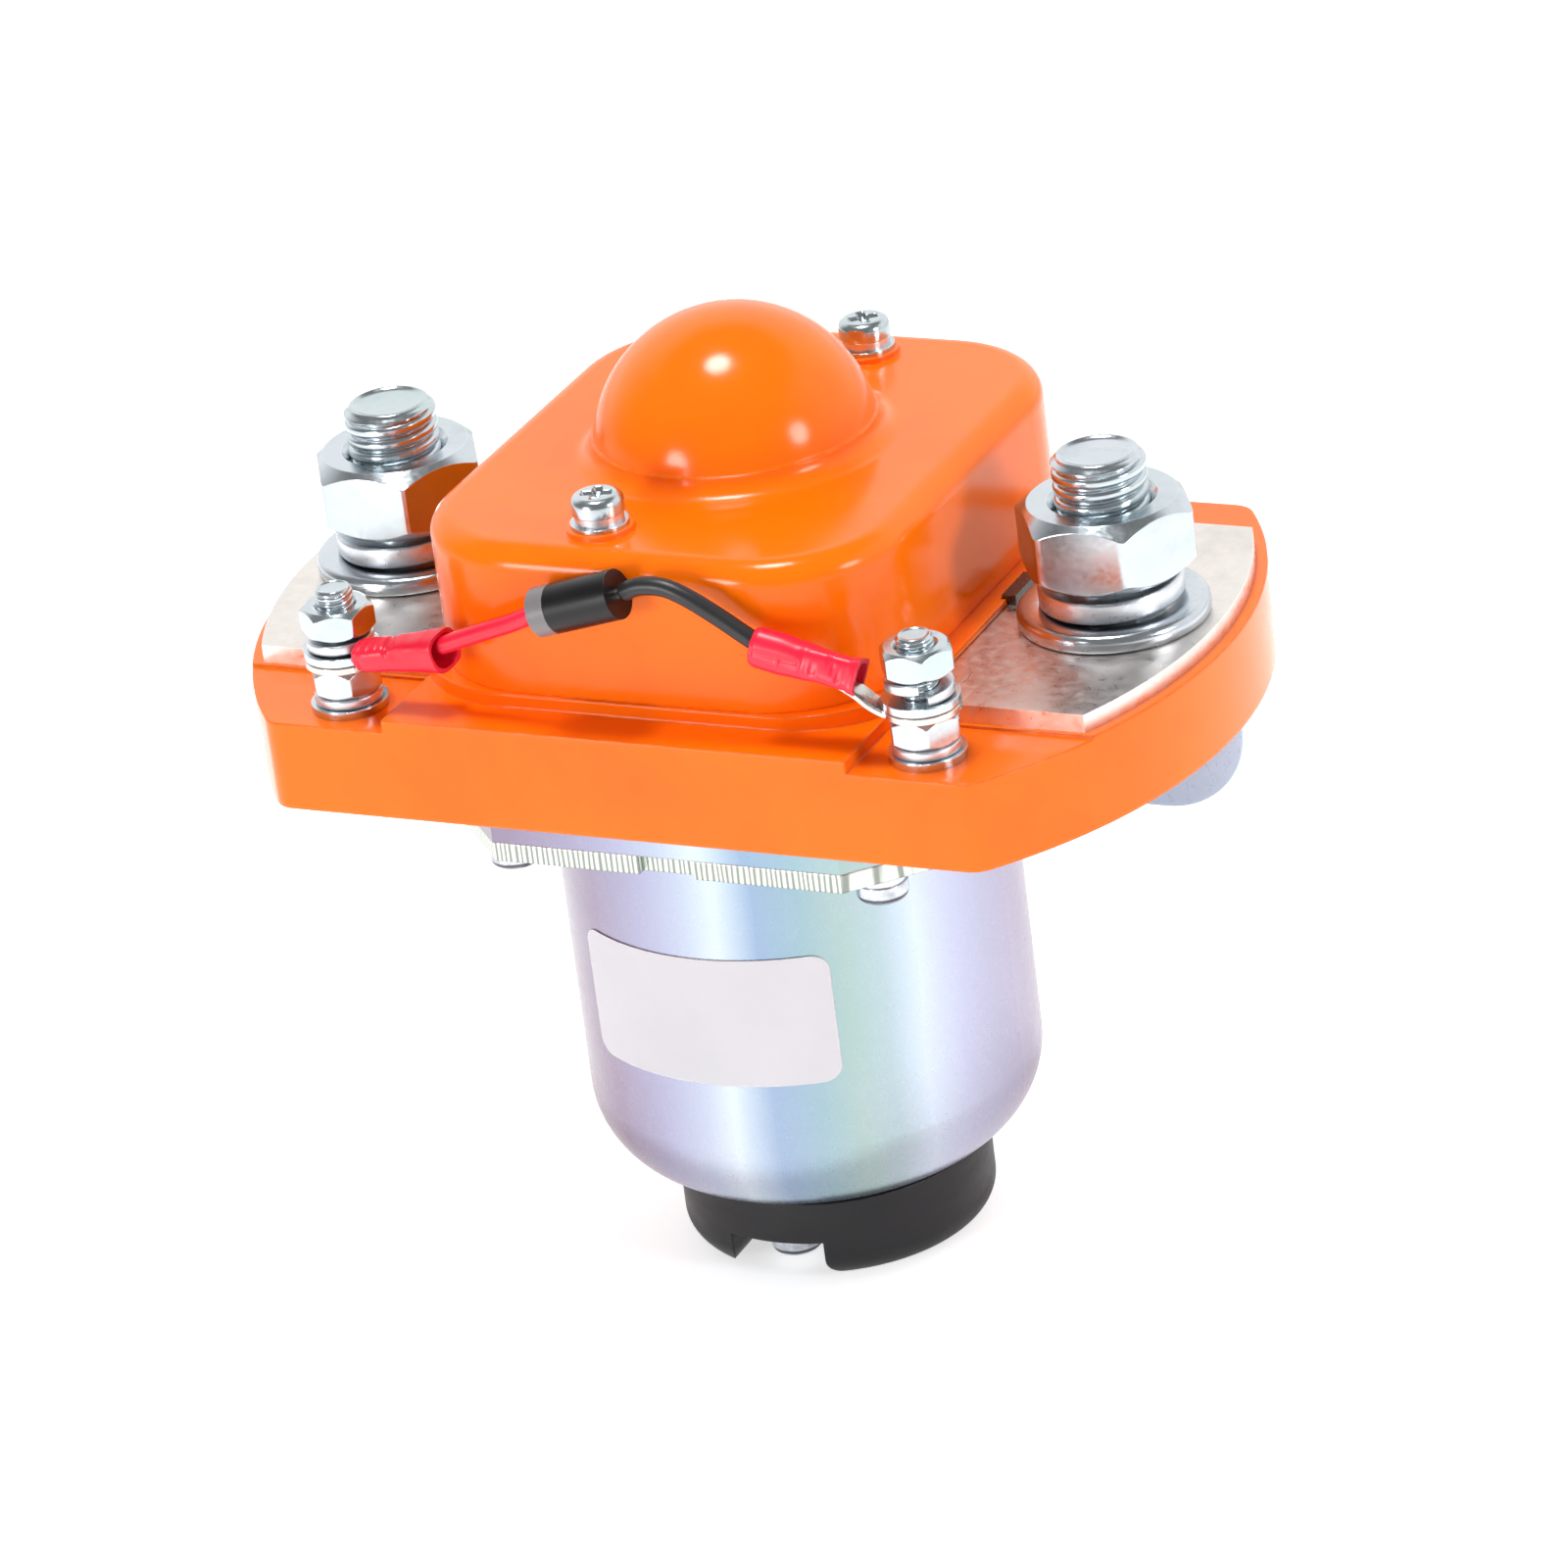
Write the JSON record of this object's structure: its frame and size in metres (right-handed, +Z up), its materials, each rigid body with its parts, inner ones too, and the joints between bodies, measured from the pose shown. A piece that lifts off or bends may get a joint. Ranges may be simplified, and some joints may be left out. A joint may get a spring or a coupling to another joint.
{
  "type": "solenoid relay",
  "caption": "Direct-current power contactor: an orange moulded contact chamber with bolted busbars over a steel coil can, on a wall bracket.",
  "frame": {"origin": "centre of the bottom cap's foot, on the can's axis", "axes": "+Z up the can's axis towards the dome, +X towards the right main stud, -Y towards the coil studs and the diode"},
  "size_m": [0.1086, 0.073, 0.1068],
  "materials": {
    "moulding": "orange moulded plastic, satin sheen",
    "nickel_plate": "bright nickel plate",
    "zinc_plate": "bright zinc plate",
    "spring_steel": "zinc-plated spring steel",
    "lilac_zinc": "zinc plate with a lilac passivated tint",
    "magnet_iron": "zinc-plated soft iron",
    "black_plastic": "matt black moulding",
    "label_white": "blank white sticker",
    "sleeve_red": "soft red sleeve",
    "sleeve_black": "soft black sleeve",
    "diode_case": "matt black epoxy",
    "silver_ink": "silver printed band",
    "tinned_copper": "tin plate",
    "copper": "copper",
    "brass": "drawn brass",
    "bobbin_plastic": "natural nylon",
    "insulator": "brown moulded insulator"
  },
  "bodies": {
    "housing": {"base_moulding": "moulding", "cover_moulding": "moulding", "busbar_left": "nickel_plate", "busbar_right": "nickel_plate", "bar_rivets": "nickel_plate", "clamp_tabs": "spring_steel", "main_bolt_left": "zinc_plate", "main_bolt_right": "zinc_plate", "main_washer_left": "zinc_plate", "main_washer_right": "zinc_plate", "main_spring_washer_left": "spring_steel", "main_spring_washer_right": "spring_steel", "main_nut_left": "zinc_plate", "main_nut_right": "zinc_plate", "coil_bolt_left": "zinc_plate", "coil_bolt_right": "zinc_plate", "coil_washer_left": "zinc_plate", "coil_washer_right": "zinc_plate", "coil_spring_washer_left": "spring_steel", "coil_spring_washer_right": "spring_steel", "coil_nut_left": "zinc_plate", "coil_nut_right": "zinc_plate", "ring_terminal_left": "tinned_copper", "ring_terminal_right": "tinned_copper", "upper_washer_left": "zinc_plate", "upper_washer_right": "zinc_plate", "upper_spring_washer_left": "spring_steel", "upper_spring_washer_right": "spring_steel", "upper_nut_left": "zinc_plate", "upper_nut_right": "zinc_plate", "terminal_sleeve_left": "sleeve_red", "terminal_sleeve_right": "sleeve_red", "diode_body": "diode_case", "diode_band": "silver_ink", "diode_leads": "tinned_copper", "lead_sleeve_red": "sleeve_red", "lead_sleeve_black": "sleeve_black", "cover_screws": "zinc_plate", "mounting_bracket": "lilac_zinc", "yoke_plate": "magnet_iron", "plate_screws": "zinc_plate", "small_washers": "zinc_plate", "small_spring_washers": "spring_steel", "coil_can": "lilac_zinc", "pole_core": "magnet_iron", "guide_tube": "brass", "coil_bobbin": "bobbin_plastic", "coil_winding": "copper", "coil_leads": "copper", "bottom_cap": "black_plastic", "cap_screws": "zinc_plate", "label": "label_white", "return_spring": "spring_steel"},
    "armature": {"plunger": "magnet_iron", "plunger_shaft": "magnet_iron", "spring_collar": "insulator", "top_nut": "zinc_plate", "contact_spring": "spring_steel"},
    "bridge": {"contact_bridge": "copper", "bridge_bush": "insulator"}
  },
  "joints": [
    {"name": "armature_slide", "type": "slide", "parent": "housing", "child": "armature", "axis": [0, 0, -1], "range_m": [0, 0.0045], "stiffness_N_per_m": 800, "springref_m": -0.01, "deforming": ["return_spring"]},
    {"name": "bridge_slide", "type": "slide", "parent": "armature", "child": "bridge", "axis": [0, 0, 1], "range_m": [0, 0.0015], "deforming": ["contact_spring"]}
  ],
  "couplings": [
    {"joint": "bridge_slide", "follows": "armature_slide", "ratio": 0.3333}
  ]
}
